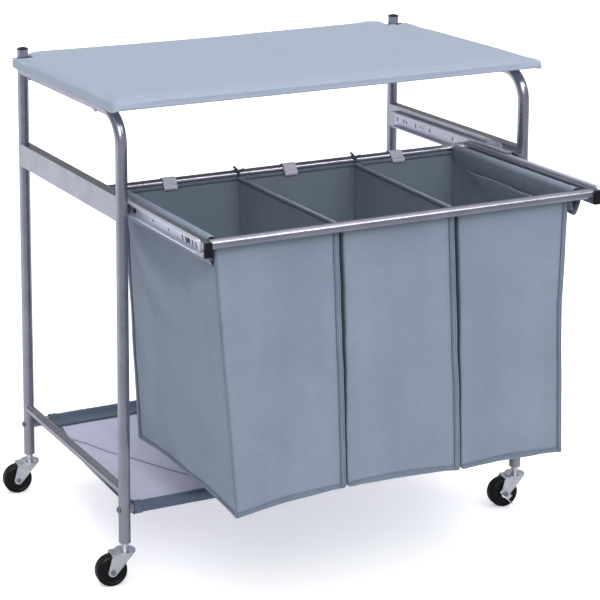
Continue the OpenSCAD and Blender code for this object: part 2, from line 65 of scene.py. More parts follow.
CX = shared_x()
FRONT_BAR = middle("drawer_front_bar")
BACK_BAR = middle("drawer_back_bar")
BAR_R = (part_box("drawer_back_bar")[1].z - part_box("drawer_back_bar")[0].z) / 2
LEFT_ROD = middle("left_bag_rod")
RIGHT_ROD = middle("right_bag_rod")
COVER_LO, COVER_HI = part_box("board_cover")
SHELF_LO, SHELF_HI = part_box("shelf_fabric")
FRONT_TUBE = middle("front_shelf_tube")
BACK_TUBE = middle("back_shelf_tube")
POST_BACK_LEFT = middle("left_back_post")
POST_BACK_RIGHT = middle("right_back_post")
TUBE_R = (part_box("left_back_post")[1].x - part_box("left_back_post")[0].x) / 2


# ---------- small helpers ----------

def mix(a, b, t):
    return a + (b - a) * t


def smooth(t):
    t = min(1.0, max(0.0, t))
    return t * t * (3 - 2 * t)


def marks(length, first, last, pitch):
    """Shares 0..1 of a length: a first and a last short step, even steps between."""
    steps = max(1, round((length - first - last) / pitch))
    inner = [first + (length - first - last) * i / steps for i in range(steps + 1)]
    return [0.0] + [v / length for v in inner] + [1.0]


def along(points, t):
    """Point at share t of a polyline given as (key, value...) rows, keys rising."""
    t = mix(points[0][0], points[-1][0], t)
    for a, b in zip(points, points[1:]):
        if t <= b[0]:
            s = (t - a[0]) / (b[0] - a[0])
            return [mix(p, q, s) for p, q in zip(a[1:], b[1:])]
    return list(points[-1][1:])


def add_mesh(name, verts, faces, uvs=None, material=None):
    mesh = bpy.data.meshes.new(name)
    mesh.from_pydata([tuple(v) for v in verts], [], faces)
    if uvs:
        layer = mesh.uv_layers.new(name="cloth")
        for loop in mesh.loops:
            layer.data[loop.index].uv = uvs[loop.index]
    mesh.polygons.foreach_set("use_smooth", [True] * len(mesh.polygons))
    obj = bpy.data.objects.new(name, mesh)
    SCENE.collection.objects.link(obj)
    if material:
        mesh.materials.append(material)
    mesh.update()
    return obj


def apply_modifiers(obj):
    """Bakes every modifier into the mesh."""
    graph = bpy.context.evaluated_depsgraph_get()
    mesh = bpy.data.meshes.new_from_object(obj.evaluated_get(graph))
    old = obj.data
    obj.modifiers.clear()
    obj.data = mesh
    bpy.data.meshes.remove(old)


def thicken(obj, thickness, levels=1, offset=-1.0):
    if levels:
        obj.modifiers.new("smooth", "SUBSURF").levels = levels
        obj.modifiers["smooth"].render_levels = levels
    solid = obj.modifiers.new("cloth", "SOLIDIFY")
    solid.thickness = thickness
    solid.offset = offset
    apply_modifiers(obj)


def ripple(point, size, seed):
    """Soft noise in -1..1 at a size in metres."""
    return noise.noise(Vector(point) / size + Vector((seed, seed * 0.37, -seed)))


# ---------- materials ----------

def srgb(r, g, b):
    def linear(c):
        c /= 255
        return c / 12.92 if c <= 0.04045 else ((c + 0.055) / 1.055) ** 2.4
    return (linear(r), linear(g), linear(b), 1)


def level(v):
    """A faintly cool grey, as light."""
    return (v, v, v * 1.02, 1)


class Nodes:
    """Short ways to add and wire nodes in a node tree."""

    def __init__(self, tree):
        self.tree = tree
        self.place = self.node("ShaderNodeTexCoord").outputs

    def node(self, kind, **settings):
        made = self.tree.nodes.new(kind)
        for key, value in settings.items():
            setattr(made, key, value)
        return made

    def link(self, a, b):
        self.tree.links.new(a, b)

    def scaled(self, source, scale):
        mapping = self.node("ShaderNodeMapping")
        mapping.inputs["Scale"].default_value = scale
        self.link(source, mapping.inputs["Vector"])
        return mapping.outputs[0]

    def noise(self, vector, scale, detail=3, rough=0.5):
        made = self.node("ShaderNodeTexNoise")
        made.inputs["Scale"].default_value = scale
        made.inputs["Detail"].default_value = detail
        made.inputs["Roughness"].default_value = rough
        self.link(vector, made.inputs["Vector"])
        return made.outputs["Fac"]

    def bands(self, vector, scale, direction, bend=0.0):
        made = self.node("ShaderNodeTexWave", wave_type="BANDS", bands_direction=direction)
        made.inputs["Scale"].default_value = scale
        made.inputs["Distortion"].default_value = bend
        made.inputs["Detail"].default_value = 1
        self.link(vector, made.inputs["Vector"])
        return made.outputs["Fac"]

    def math(self, operation, a, b=0.5, c=0.5):
        made = self.node("ShaderNodeMath", operation=operation)
        for socket, value in zip(made.inputs, (a, b, c)):
            if isinstance(value, (int, float)):
                socket.default_value = value
            else:
                self.link(value, socket)
        return made.outputs[0]

    def ramp(self, fac, *stops):
        made = self.node("ShaderNodeValToRGB")
        elements = made.color_ramp.elements
        while len(elements) < len(stops):
            elements.new(0.5)
        for element, (position, color) in zip(elements, stops):
            element.position = position
            element.color = color
        self.link(fac, made.inputs[0])
        return made.outputs[0]

    def grey(self, fac, low, high, start=0.3, stop=0.7):
        return self.ramp(fac, (start, (low, low, low, 1)), (stop, (high, high, high, 1)))

    def blend(self, fac, a, b, kind="MIX"):
        made = self.node("ShaderNodeMix", data_type="RGBA", blend_type=kind)
        for socket, value in zip((made.inputs[0], made.inputs[6], made.inputs[7]), (fac, a, b)):
            if isinstance(value, (int, float, tuple)):
                socket.default_value = value
            else:
                self.link(value, socket)
        return made.outputs[2]

    def split(self, vector):
        made = self.node("ShaderNodeSeparateXYZ")
        self.link(vector, made.inputs[0])
        return made.outputs


class Shader(Nodes):
    """A Principled material."""

    def __init__(self, name):
        self.material = bpy.data.materials.new(name)
        self.material.use_nodes = True
        super().__init__(self.material.node_tree)
        self.bsdf = self.tree.nodes["Principled BSDF"]

    def set(self, **inputs):
        for key, value in inputs.items():
            self.bsdf.inputs[key.replace("_", " ")].default_value = value

    def bump(self, height, strength, distance):
        made = self.node("ShaderNodeBump")
        made.inputs["Strength"].default_value = strength
        made.inputs["Distance"].default_value = distance
        self.link(height, made.inputs["Height"])
        old = self.bsdf.inputs["Normal"]
        if old.is_linked:
            self.link(old.links[0].from_socket, made.inputs["Normal"])
        self.link(made.outputs[0], old)

    def color(self, source):
        self.link(source, self.bsdf.inputs["Base Color"])

    def roughness(self, source):
        self.link(source, self.bsdf.inputs["Roughness"])

    def painted_occlusion_shade(self, reach):
        """Painted shade: the colour goes darker where another surface is closer than the reach."""
        cover = self.node("ShaderNodeAmbientOcclusion", samples=4)
        cover.inputs["Distance"].default_value = reach
        return self.ramp(cover.outputs["AO"], (0.15, level(0.03)), (0.40, level(0.45)),
                         (0.65, level(0.80)), (0.97, level(1.0)))

    def worn_edges(self, width):
        """1 on convex edges, 0 on flats."""
        bevel = self.node("ShaderNodeBevel", samples=4)
        bevel.inputs["Radius"].default_value = width
        geometry = self.node("ShaderNodeNewGeometry")
        dot = self.node("ShaderNodeVectorMath", operation="DOT_PRODUCT")
        self.link(bevel.outputs[0], dot.inputs[0])
        self.link(geometry.outputs["Normal"], dot.inputs[1])
        return self.ramp(dot.outputs["Value"], (0.80, (1, 1, 1, 1)), (0.97, (0, 0, 0, 1)))


def cloth_finish(name, base, shade, weave=1.1 * MM, rough=0.72, sheen=0.25, blotch=0.16):
    """Woven cloth. UVs are in metres, so the weave keeps its size on every panel."""
    s = Shader(name)
    uv = s.place["UV"]
    place = s.place["Object"]
    warp = s.bands(uv, math.pi / weave / 10, "X", 0.6)
    weft = s.bands(uv, math.pi / weave / 10, "Y", 0.6)
    threads = s.math("MULTIPLY", warp, weft)
    uneven = s.noise(s.scaled(uv, (1, 0.18, 1)), 900, 2)
    slubs = s.noise(s.scaled(uv, (0.12, 1, 1)), 500, 2)
    clouds = s.noise(place, 9, 4, 0.6)
    streaks = s.noise(s.scaled(uv, (14, 1.5, 1)), 1.0, 2)
    tone = s.blend(s.grey(clouds, 0, 1, 0.3, 0.7), shade, base)
    tone = s.blend(blotch, tone, s.grey(streaks, 0.35, 0.75), "OVERLAY")
    tone = s.blend(0.22, tone, s.grey(threads, 0.38, 0.62, 0.1, 0.9), "OVERLAY")
    tone = s.blend(0.16, tone, s.grey(uneven, 0.3, 0.7), "OVERLAY")
    tone = s.blend(0.12, tone, s.grey(slubs, 0.35, 0.65), "OVERLAY")
    # painted shade on all cloth: darker under the bars, in the slits between bags and in creases
    tone = s.blend(1.0, tone, s.painted_occlusion_shade(16 * MM), "MULTIPLY")
    s.color(tone)
    s.roughness(s.grey(uneven, rough - 0.06, rough + 0.08))
    s.set(Sheen_Weight=sheen, Sheen_Roughness=0.5, Sheen_Tint=(0.8, 0.88, 1, 1))
    s.bsdf.inputs["Specular IOR Level"].default_value = 0.35
    s.bump(threads, 0.35, 0.25 * MM)
    s.bump(s.noise(place, 60, 3), 0.22, 1.5 * MM)
    return s.material


def paint_finish():
    """Silver powder coat: metallic fleck and slight orange peel. The colour goes dark at a glancing view, a painted
    shade for the dim room that the tube edges reflect.
    """
    s = Shader("silver_paint")
    place = s.place["Object"]
    fleck = s.noise(place, 2600, 1)
    clouds = s.noise(place, 22, 3)
    tone = s.blend(s.grey(clouds, 0, 1), srgb(149, 151, 163), srgb(165, 166, 178))
    tone = s.blend(0.25, tone, s.grey(fleck, 0.34, 0.68), "OVERLAY")
    # painted shade: darker colour at a glancing view stands in for dark reflections at the tube edges
    facing = s.node("ShaderNodeLayerWeight").outputs["Facing"]
    glancing_shade = s.ramp(facing, (0.62, level(1.0)), (0.92, level(0.40)))
    tone = s.blend(1.0, tone, glancing_shade, "MULTIPLY")
    tone = s.blend(s.math("MULTIPLY", s.worn_edges(0.8 * MM), 0.35), tone, srgb(190, 190, 204))
    s.color(tone)
    s.set(Metallic=0.85, Coat_Weight=0.10, Coat_Roughness=0.22)
    s.roughness(s.grey(fleck, 0.20, 0.30))
    s.bump(s.noise(place, 420, 2), 0.025, 0.4 * MM)
    s.bump(fleck, 0.04, 0.1 * MM)
    return s.material


def zinc_finish(name="zinc_plate", base=(232, 234, 240), shade=(196, 200, 209), metal=0.9, rough=(0.34, 0.26)):
    """Bright zinc plate with faint rolling marks and dull patches."""
    s = Shader(name)
    place = s.place["Object"]
    patches = s.noise(place, 90, 4, 0.65)
    grain = s.noise(s.scaled(place, (1, 0.05, 1)), 2200, 2)
    tone = s.blend(s.grey(patches, 0, 1, 0.2, 0.8), srgb(*shade), srgb(*base))
    tone = s.blend(0.15, tone, s.grey(grain, 0.35, 0.65), "OVERLAY")
    tone = s.blend(s.math("MULTIPLY", s.worn_edges(0.5 * MM), 0.5), tone, srgb(236, 238, 242))
    s.color(tone)
    s.set(Metallic=metal)
    s.roughness(s.grey(patches, *rough))
    s.bump(grain, 0.06, 0.1 * MM)
    s.bump(patches, 0.012, 0.3 * MM)
    return s.material


def plastic_finish(name, base, light, rough, scale, shine=0.5):
    """Moulded plastic with fine spark-eroded grain and rubbed edges."""
    s = Shader(name)
    place = s.place["Object"]
    grain = s.noise(place, scale, 2)
    dust = s.noise(place, 55, 4, 0.7)
    tone = s.blend(s.grey(dust, 0, 0.5, 0.45, 0.8), srgb(*base), srgb(*light))
    tone = s.blend(s.math("MULTIPLY", s.worn_edges(0.6 * MM), 0.35), tone, srgb(92, 92, 96))
    s.color(tone)
    s.roughness(s.grey(grain, rough - 0.08, rough + 0.12))
    s.bsdf.inputs["Specular IOR Level"].default_value = shine
    s.bump(grain, 0.18, 0.15 * MM)
    return s.material


def board_finish():
    """Bare fibreboard."""
    s = Shader("fibreboard")
    place = s.place["Object"]
    fibre = s.noise(s.scaled(place, (1, 3, 1)), 260, 4, 0.7)
    tone = s.ramp(fibre, (0.3, srgb(116, 110, 102)), (0.7, srgb(144, 137, 128)))
    s.color(tone)
    s.roughness(s.grey(fibre, 0.75, 0.9))
    s.bump(fibre, 0.3, 0.3 * MM)
    return s.material


def foam_finish():
    """Open-cell foam."""
    s = Shader("foam")
    cells = s.node("ShaderNodeTexVoronoi")
    cells.inputs["Scale"].default_value = 900
    s.link(s.place["Object"], cells.inputs["Vector"])
    s.color(s.ramp(cells.outputs["Distance"], (0.1, srgb(190, 188, 178)), (0.6, srgb(226, 224, 214))))
    s.set(Roughness=0.95)
    s.bump(cells.outputs["Distance"], 0.5, 0.6 * MM)
    return s.material


BAG_CLOTH = cloth_finish("bag_cloth", srgb(130, 143, 157), srgb(122, 135, 149))
BAG_EDGE = cloth_finish("bag_binding", srgb(118, 133, 147), srgb(104, 120, 135), 0.8 * MM)
TOP_CLOTH = cloth_finish("top_cloth", srgb(163, 176, 191), srgb(161, 174, 189), 0.7 * MM, 0.5, 0.15, 0.03)
SHELF_CLOTH = cloth_finish("shelf_cloth", srgb(206, 207, 226), srgb(196, 198, 218), 1.4 * MM)
HEM_CLOTH = cloth_finish("shelf_hem", srgb(88, 103, 120), srgb(76, 91, 107), 1.0 * MM)
# darker cloth of the fold ridge: painted crease shade
FOLD_SHADE_CLOTH = cloth_finish("shelf_fold", srgb(168, 175, 195), srgb(156, 164, 185), 1.0 * MM)
LOOP_CLOTH = cloth_finish("loop_tape", srgb(222, 224, 232), srgb(206, 209, 219), 1.3 * MM, 0.85)
TIE_CLOTH = cloth_finish("tie_tape", srgb(78, 92, 106), srgb(66, 79, 92), 0.9 * MM, 0.8)
THREAD = cloth_finish("thread", srgb(96, 113, 131), srgb(84, 100, 118), 0.3 * MM, 0.6)

FINISHES = {
    "frame_paint": paint_finish(),
    "black_plastic": plastic_finish("black_plastic", (13, 13, 15), (30, 30, 32), 0.36, 1400, 0.3),
    "zinc": zinc_finish(),
    "balls": zinc_finish("ball_steel", (214, 216, 222), (188, 191, 200)),
    "wheel_rubber": plastic_finish("wheel_rubber", (9, 9, 11), (24, 24, 26), 0.38, 900, 0.22),
    "panel_board": board_finish(),
}


SLIDE_ZINC = zinc_finish("slide_zinc", (216, 221, 235), (204, 209, 224), 0.45, (0.40, 0.38))
DARK_ZINC = zinc_finish("axle_zinc", (150, 154, 162), (120, 124, 132), 0.9)
SCREW_ZINC = zinc_finish("screw_zinc", (74, 76, 82), (52, 54, 60), 0.6)


def finish_cad_parts():
    for label, node in NODES.items():
        for index, used in enumerate(node.data.materials):
            name = used.name.split(".")[0]
            if name in FINISHES:
                node.data.materials[index] = FINISHES[name]
            if name == "zinc" and "slide_" in label:
                node.data.materials[index] = SLIDE_ZINC
            if name == "zinc" and ("axle" in label or "bolts" in label):
                node.data.materials[index] = DARK_ZINC
            if name == "zinc" and "drawer_slide_screws" in label:
                node.data.materials[index] = SCREW_ZINC


# ---------- bags ----------
# Each bag is one sheet of cloth: four walls and a bottom on a regular grid.
# Rows run down from the rim. Columns run round from the front left corner.

HEM = 6 * MM
BAND = 9 * MM
TUCK = 3 * MM
FOOT_HEM = 7 * MM
GRID = 12 * MM
CLOTH_T = 1.5 * MM
SIDES = ("front", "right", "back", "left")
STITCH_Z = LEFT_ROD.z - 36 * MM


def slit(z):
    """Half of the gap between two bags at their front corners. It closes lower down."""
    return mix(2.2, 5.0, smooth((z - 0.24) / 0.26)) * MM


PLY_GAP = 0.25 * MM


def wave(y, z):
    """Shared sway of both plies of a divider, so that they never cross."""
    return 2.2 * MM * math.sin(y * 31 + 1.3) * smooth((0.6 - z) / 0.25) + 1.2 * MM * math.sin(z * 47)


class Bag:
    """A bag's corner lines are (height, x, y) rows, from the bottom to the rim."""

    def __init__(self, name, lines, divider_sides, outer_side, folds):
        self.name = name
        self.lines = lines
        self.divider_sides = divider_sides
        self.outer_side = outer_side
        self.folds = folds
        self.build()

    def corner(self, index, t):
        """Point at share t down the corner line with that index."""
        line = self.lines[index % 4]
        x, y = along(line, 1 - t)
        z = mix(line[-1][0], line[0][0], t)
        sway = 1.3 * MM * math.sin(math.pi * t)
        here = (line[0][1], line[0][2], z)
        inward = 1 if index % 4 in (0, 3) else -1
        if ("left" if inward > 0 else "right") in self.divider_sides:
            x += inward * (slit(z) if index % 4 in (0, 1) else PLY_GAP)
        return Vector((x + sway * ripple(here, 0.045, 1), y + sway * ripple(here, 0.045, 2), z))

    def wall_point(self, side, u, t):
        a, b = self.corner(side, t), self.corner(side + 1, t)
        p = a.lerp(b, u)
        name = SIDES[side]
        arch = math.sin(math.pi * u)
        low = smooth(t * 1.2)
        p.z += 5 * MM * arch * t ** 3
        p.z += 2.2 * MM * ripple((p.x, p.y, 0), 0.045, 61) * min(1, arch * 2) * t ** 8
        if name == "front":
            p.y -= 3.0 * MM * arch * low
            p.y += 0.9 * MM * ripple(p, 0.06, 3 + side) * arch
            p.y += 0.8 * MM * math.sin(u * 9 + 2 * self.folds) * smooth(0.5 - t) * arch
        elif name == "back":
            p.y += 2.0 * MM * arch * low
            p.y += 1.6 * MM * ripple(p, 0.07, 9 + side) * arch
        elif name in self.divider_sides:
            out = 1 if name == "right" else -1
            share = u if name == "right" else 1 - u
            near = smooth(share * (a - b).length / (18 * MM))
            p.x += wave(p.y, p.z) * arch + out * (slit(p.z) - PLY_GAP) * (near - share)
        else:
            out = 1 if name == "right" else -1
            fold = math.cos(u * 2 * math.pi * 2.6 + self.folds) * (1 - 0.55 * t)
            fold += 0.5 * math.cos(u * 2 * math.pi * 5.3 + 2.1 + t) * (1 - t)
            p.x += out * (2.6 * MM * fold + 3 * MM * low) * arch ** 0.6
            p.x += 1.2 * MM * ripple(p, 0.08, 5) * arch
            to_front = (a - b).length * (u if name == "right" else 1 - u)
            to_back = (a - b).length - to_front
            hang = STITCH_Z - 6 * MM + 14 * MM * smooth(to_front / (45 * MM))
            top = 1 - min(1, t / 0.15)
            droop = smooth(min(to_front / (2.5 * MM), to_back / (14 * MM)))
            p.z = mix(p.z, mix(p.z, hang, top), droop)
        return p

    def build(self):
        height = self.lines[0][-1][0] - self.lines[0][0][0]
        self.rows = marks(height, HEM, FOOT_HEM, GRID)
        wide = (self.corner(1, 0) - self.corner(0, 0)).length
        deep = (self.corner(2, 0) - self.corner(1, 0)).length
        across = marks(wide, BAND, BAND, GRID)
        down = marks(deep, TUCK, BAND, GRID)
        self.counts = [len(across) - 1, len(down) - 1, len(across) - 1, len(down) - 1]
        shares = [across, down, across, [1 - u for u in reversed(down)]]
        self.ring = sum(self.counts)
        self.starts = [sum(self.counts[:i]) for i in range(5)]
        verts = []
        for t in self.rows:
            for side in range(4):
                for u in shares[side][:-1]:
                    verts.append(self.wall_point(side, u, t))
        faces, uvs = [], []

        def quad(ids, axes):
            faces.append(ids)
            uvs.extend([(verts[i][axes[0]], verts[i][axes[1]]) for i in ids])

        for r in range(len(self.rows) - 1):
            for side in range(4):
                for c in range(self.starts[side], self.starts[side + 1]):
                    n = (c + 1) % self.ring
                    ids = (self.index(r, c), self.index(r + 1, c), self.index(r + 1, n), self.index(r, n))
                    quad(ids, (0, 2) if side % 2 == 0 else (1, 2))
        self.wall_faces = len(faces)
        floor = self.floor_ids(verts, across, down)
        for j in range(len(down) - 1):
            for i in range(len(across) - 1):
                quad((floor[j][i], floor[j + 1][i], floor[j + 1][i + 1], floor[j][i + 1]), (0, 1))
        self.obj = add_mesh(self.name, verts, faces, uvs, BAG_CLOTH)
        self.rest = [v.co.copy() for v in self.obj.data.vertices]

    def index(self, row, column):
        return row * self.ring + column % self.ring

    def floor_ids(self, verts, across, down):
        """Vertex numbers of the bottom, row by row from front to back."""
        last = len(self.rows) - 1
        nx, ny = len(across), len(down)
        ids = [[None] * nx for _ in range(ny)]
        for i in range(nx):
            ids[0][i] = self.index(last, i)
            ids[ny - 1][nx - 1 - i] = self.index(last, self.starts[2] + i)
        for j in range(ny):
            ids[j][nx - 1] = self.index(last, self.starts[1] + j)
            ids[ny - 1 - j][0] = self.index(last, self.starts[3] + j)
        for j in range(1, ny - 1):
            for i in range(1, nx - 1):
                a = verts[ids[0][i]].lerp(verts[ids[ny - 1][i]], down[j])
                b = verts[ids[j][0]].lerp(verts[ids[j][nx - 1]], across[i])
                p = (a + b) / 2
                p.z += 2 * MM * ripple(p, 0.09, 4)
                ids[j][i] = len(verts)
                verts.append(p)
        return ids

    def pinned(self):
        """Vertices that the rim hem, the corner seams and the dividers hold."""
        held = set(range(2 * self.ring))
        held.update(self.index(r, k) for r in range(len(self.rows)) for k in self.starts[:4])
        for side, name in enumerate(SIDES):
            if name in self.divider_sides:
                for r in range(len(self.rows)):
                    held.update(self.index(r, c) for c in range(self.starts[side], self.starts[side + 1] + 1))
        return sorted(held)

    def seams(self):
        """Vertices along the sewn corner and bottom edges."""
        sewn = set()
        for r in range(len(self.rows)):
            sewn.update(self.index(r, self.starts[k]) for k in range(4))
        sewn.update(self.index(len(self.rows) - 1, c) for c in range(self.ring))
        return sorted(sewn)


    # ---- sewn edges, made from the simulated cloth ----

    def point(self, row, column):
        return self.obj.data.vertices[self.index(row, column)].co

    def normal(self, row, column):
        return self.obj.data.vertices[self.index(row, column)].normal

    def band(self, cells, lift, seen=None):
        """Copies wall cells, as (row, column) pairs, lifted along their normals."""
        seen = {} if seen is None else seen
        verts, faces, uvs = [], [], []
        layer = self.obj.data.uv_layers[0].data
        for r, c in cells:
            face = self.obj.data.polygons[r * self.ring + c % self.ring]
            ids = []
            for i in face.vertices:
                if i not in seen:
                    v = self.obj.data.vertices[i]
                    seen[i] = len(verts)
                    verts.append(v.co + v.normal * lift)
                ids.append(seen[i])
            faces.append(ids)
            uvs.extend([tuple(layer[k].uv) for k in face.loop_indices])
        return verts, faces, uvs

    def bind(self, suffix, cells, lift=1.0 * MM, thickness=1.0 * MM):
        verts, faces, uvs = self.band(cells, lift)
        made = add_mesh(f"{self.name[:-6]}_{suffix}", verts, faces, uvs, BAG_EDGE)
        thicken(made, thickness, 1, 0.0)
        self.add_piece(made)

    def add_piece(self, piece):
        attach(piece, "drawer")

    def edge_path(self, column, share, lift, step=1):
        """Path down the walls, at a share of the cell beside that column."""
        path = []
        for r in range(len(self.rows)):
            a, b = self.point(r, column), self.point(r, column + step)
            n = self.normal(r, column).lerp(self.normal(r, column + step), max(share, 0.5)).normalized()
            path.append((a.lerp(b, share) + n * lift, n))
        return path

    def row_path(self, row, share, first, last, lift):
        """Path round the walls, at a share of the cells below that row."""
        path = []
        for c in range(first, last + 1):
            a, b = self.point(row, c), self.point(row + 1, c)
            n = self.normal(row, c).lerp(self.normal(row + 1, c), 0.5).normalized()
            path.append((a.lerp(b, share) + n * lift, n))
        return path

    def sew(self):
        """Rim hem, bound corner seams and bottom seam, with their stitching."""
        rows = range(len(self.rows) - 1)
        last = len(self.rows) - 2
        s = self.starts
        self.bind("rim_hem", [(0, c) for c in range(self.ring)], -CLOTH_T / 2, CLOTH_T + 1.4 * MM)
        sides = [k for k, name in enumerate(SIDES) if name not in self.divider_sides]
        foot = [(last, c) for k in sides for c in range(s[k], s[k + 1])]
        self.bind("bottom_seam", foot, 0.4 * MM, 1.3 * MM)
        corner = (s[1] - 1,) if "right" in self.divider_sides else (s[1] - 1, s[1])
        self.bind("right_seam", [(r, c) for r in rows for c in corner])
        paths = [self.edge_path(s[1] - 1, 0.22, 1.7 * MM), self.edge_path(s[1] - 1, 0.72, 1.7 * MM)]
        if "left" not in self.divider_sides:
            self.bind("left_seam", [(r, self.ring - 1) for r in rows], 0.7 * MM, 1.5 * MM)
            self.bind("back_left_seam", [(r, s[3]) for r in rows])
            paths.append(self.edge_path(s[3], 0.78, 1.7 * MM))
        if "right" not in self.divider_sides:
            self.bind("back_right_seam", [(r, s[2] - 1) for r in rows])
            paths.append(self.edge_path(s[2] - 1, 0.22, 1.7 * MM))
        self.bind("back_seam", [(r, s[3] - 1) for r in rows], 0.6 * MM, 1.2 * MM)
        for k in sides:
            paths.append(self.row_path(last, 0.25, s[k], s[k + 1], 1.4 * MM))
        paths.append(self.row_path(0, 0.88, 0, self.ring, 0.9 * MM))
        inner = self.row_path(0, 0.88, 0, self.ring, -CLOTH_T - 0.9 * MM)
        paths.append([(p, -n) for p, n in inner])
        self.add_piece(stitches(f"{self.name[:-6]}_stitching", paths))


def stitches(name, paths, pitch=4.4 * MM, length=3.2 * MM, width=0.8 * MM, height=0.55 * MM):
    """Thread along each path: a row of short, slightly domed dashes."""
    verts, faces = [], []
    for path in paths:
        carried = pitch / 2
        for (a, na), (b, nb) in zip(path, path[1:]):
            span = (b - a).length
            if span < 1e-6:
                continue
            way = (b - a) / span
            while carried < span:
                t = carried / span
                centre, n = a.lerp(b, t), na.lerp(nb, t).normalized()
                side = way.cross(n).normalized() * width / 2
                half = way * length / 2
                base = len(verts)
                up = n * height / 2
                verts.extend([centre - half, centre - half * 0.6 + side - up * 0.2, centre + half * 0.6 + side - up * 0.2,
                              centre + half, centre + half * 0.6 - side - up * 0.2, centre - half * 0.6 - side - up * 0.2,
                              centre - half * 0.5 + up, centre + half * 0.5 + up, centre - up])
                rim = [base + k for k in range(6)]
                top_a, top_b, under = base + 6, base + 7, base + 8
                faces.extend([(rim[0], rim[1], top_a), (rim[1], rim[2], top_b, top_a), (rim[2], rim[3], top_b),
                              (rim[3], rim[4], top_b), (rim[4], rim[5], top_a, top_b), (rim[5], rim[0], top_a)])
                faces.extend([(rim[(k + 1) % 6], rim[k], under) for k in range(6)])
                carried += pitch
            carried -= span
    made = add_mesh(name, verts, faces, None, THREAD)
    return made


def bag_specs():
    """Corner lines of the three bags, worked out from the drawer's bars and rods."""
    front_rim, back_rim = FRONT_BAR.z + 1 * MM, BACK_BAR.z - 1 * MM
    front_y = FRONT_BAR.y + BAR_R + 1.0 * MM
    foot_y = front_y - 15.5 * MM
    back_y = BACK_BAR.y - BAR_R - 2 * MM
    back_foot_y = back_y - 8 * MM
    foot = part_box("left_bag")[0].z
    left, right = LEFT_ROD.x, RIGHT_ROD.x
    seam_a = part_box("middle_bag")[0].x
    seam_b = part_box("right_bag")[0].x

    def front(x_top, x_foot, foot_z, belly=0.0):
        mid = mix(foot_z, front_rim, 0.55)
        return [(foot_z, x_foot, foot_y),
                (mid, mix(x_foot, x_top, 0.5) + belly, mix(front_y, foot_y, 0.55)),
                (front_rim - 20 * MM, x_top, front_y), (front_rim, x_top, front_y)]

    def back(x_top, x_foot, foot_z, tuck=0.0):
        line = [(foot_z, x_foot, back_foot_y), (back_rim, x_top + tuck, back_y)]
        if tuck:
            line.insert(1, (STITCH_Z - 14 * MM, x_top, back_y))
        return line

    front_a, front_b = seam_a - 3 * MM, seam_b - 8 * MM
    back_a, back_b = seam_a, seam_b + 13 * MM
    low_a, low_b = seam_a + 2 * MM, seam_b - 2 * MM
    left_lines = [
        front(left + 3.7 * MM, left + 32 * MM, foot - 4 * MM, -3 * MM),
        front(front_a, low_a, foot + 12 * MM),
        back(back_a, low_a + 4 * MM, foot + 8 * MM),
        back(left + 15 * MM, left + 31 * MM, foot + 1 * MM, -9 * MM),
    ]
    middle_lines = [
        front(front_a, low_a, foot + 12 * MM),
        front(front_b, low_b, foot + 5 * MM),
        back(back_b, low_b + 8 * MM, foot + 6 * MM),
        back(back_a, low_a + 4 * MM, foot + 8 * MM),
    ]
    right_lines = [
        front(front_b, low_b, foot + 5 * MM),
        front(right - 17 * MM, right - 27 * MM, foot + 2 * MM, -7 * MM),
        back(right - 8 * MM, right - 22 * MM, foot + 5 * MM, 3 * MM),
        back(back_b, low_b + 8 * MM, foot + 6 * MM),
    ]
    return [
        Bag("left_bag_cloth", left_lines, ("right",), "left", 0.4),
        Bag("middle_bag_cloth", middle_lines, ("left", "right"), None, 1.9),
        Bag("right_bag_cloth", right_lines, ("left",), "right", 3.1),
    ]


# ---------- cloth simulation ----------

def as_cloth(obj, pinned, sewn=(), pressure=0.0, gravity=0.0, stiff=15.0, bend=0.5, shrink=0.0):
    group = obj.vertex_groups.new(name="pin")
    group.add(pinned, 1.0, "REPLACE")
    cloth = obj.modifiers.new("sim", "CLOTH")
    c = cloth.settings
    c.quality = 5
    c.mass = 0.3
    c.tension_stiffness = c.compression_stiffness = stiff
    c.shear_stiffness = stiff * 0.4
    c.bending_stiffness = bend
    c.air_damping = 2
    c.vertex_group_mass = "pin"
    c.effector_weights.gravity = gravity
    if pressure:
        c.use_pressure = True
        c.uniform_pressure_force = pressure
    if sewn:
        seam = obj.vertex_groups.new(name="seam")
        seam.add(sewn, 1.0, "REPLACE")
        c.vertex_group_shrink = "seam"
        c.shrink_max = shrink
    cloth.collision_settings.use_collision = False


def run_cloth(pieces, frames=20):
    """Steps the simulation, then keeps each vertex within its piece's cap."""
    for number in range(1, frames + 1):
        SCENE.frame_set(number)
    graph = bpy.context.evaluated_depsgraph_get()
    for obj, cap in pieces:
        moved = [v.co.copy() for v in obj.evaluated_get(graph).data.vertices]
        obj.modifiers.clear()
        for vertex, target in zip(obj.data.vertices, moved):
            step = target - vertex.co
            if step.length > cap:
                step *= cap / step.length
            vertex.co += step
        obj.data.update()
    SCENE.frame_set(1)


# ---------- sleeves, loops and ties on the drawer ----------

def sweep(name, profile, spots, material, place, closed=False):
    """Sheet through profile points at each spot. place(point, spot, k) gives a position."""
    verts = [place(p, spot, k) for spot in spots for k, p in enumerate(profile)]
    n = len(profile)
    lengths = [0.0]
    for a, b in zip(profile, profile[1:]):
        lengths.append(lengths[-1] + math.dist(a, b))
    faces, uvs = [], []
    for i in range(len(spots) - 1):
        for k in range(n if closed else n - 1):
            m = (k + 1) % n
            faces.append((i * n + k, i * n + m, (i + 1) * n + m, (i + 1) * n + k))
            far = lengths[m] if m else lengths[-1] + math.dist(profile[-1], profile[0])
            uvs.extend([(spots[i], lengths[k]), (spots[i], far), (spots[i + 1], far), (spots[i + 1], lengths[k])])
    return add_mesh(name, verts, faces, uvs, material)


def even_steps(a, b, pitch):
    n = max(1, round(abs(b - a) / pitch))
    return [mix(a, b, i / n) for i in range(n + 1)]


def arc(cx, cz, r, start, stop, count):
    """Points on an arc, angles in degrees from the first axis."""
    turns = [math.radians(mix(start, stop, i / count)) for i in range(count + 1)]
    return [(cx + r * math.cos(a), cz + r * math.sin(a)) for a in turns]


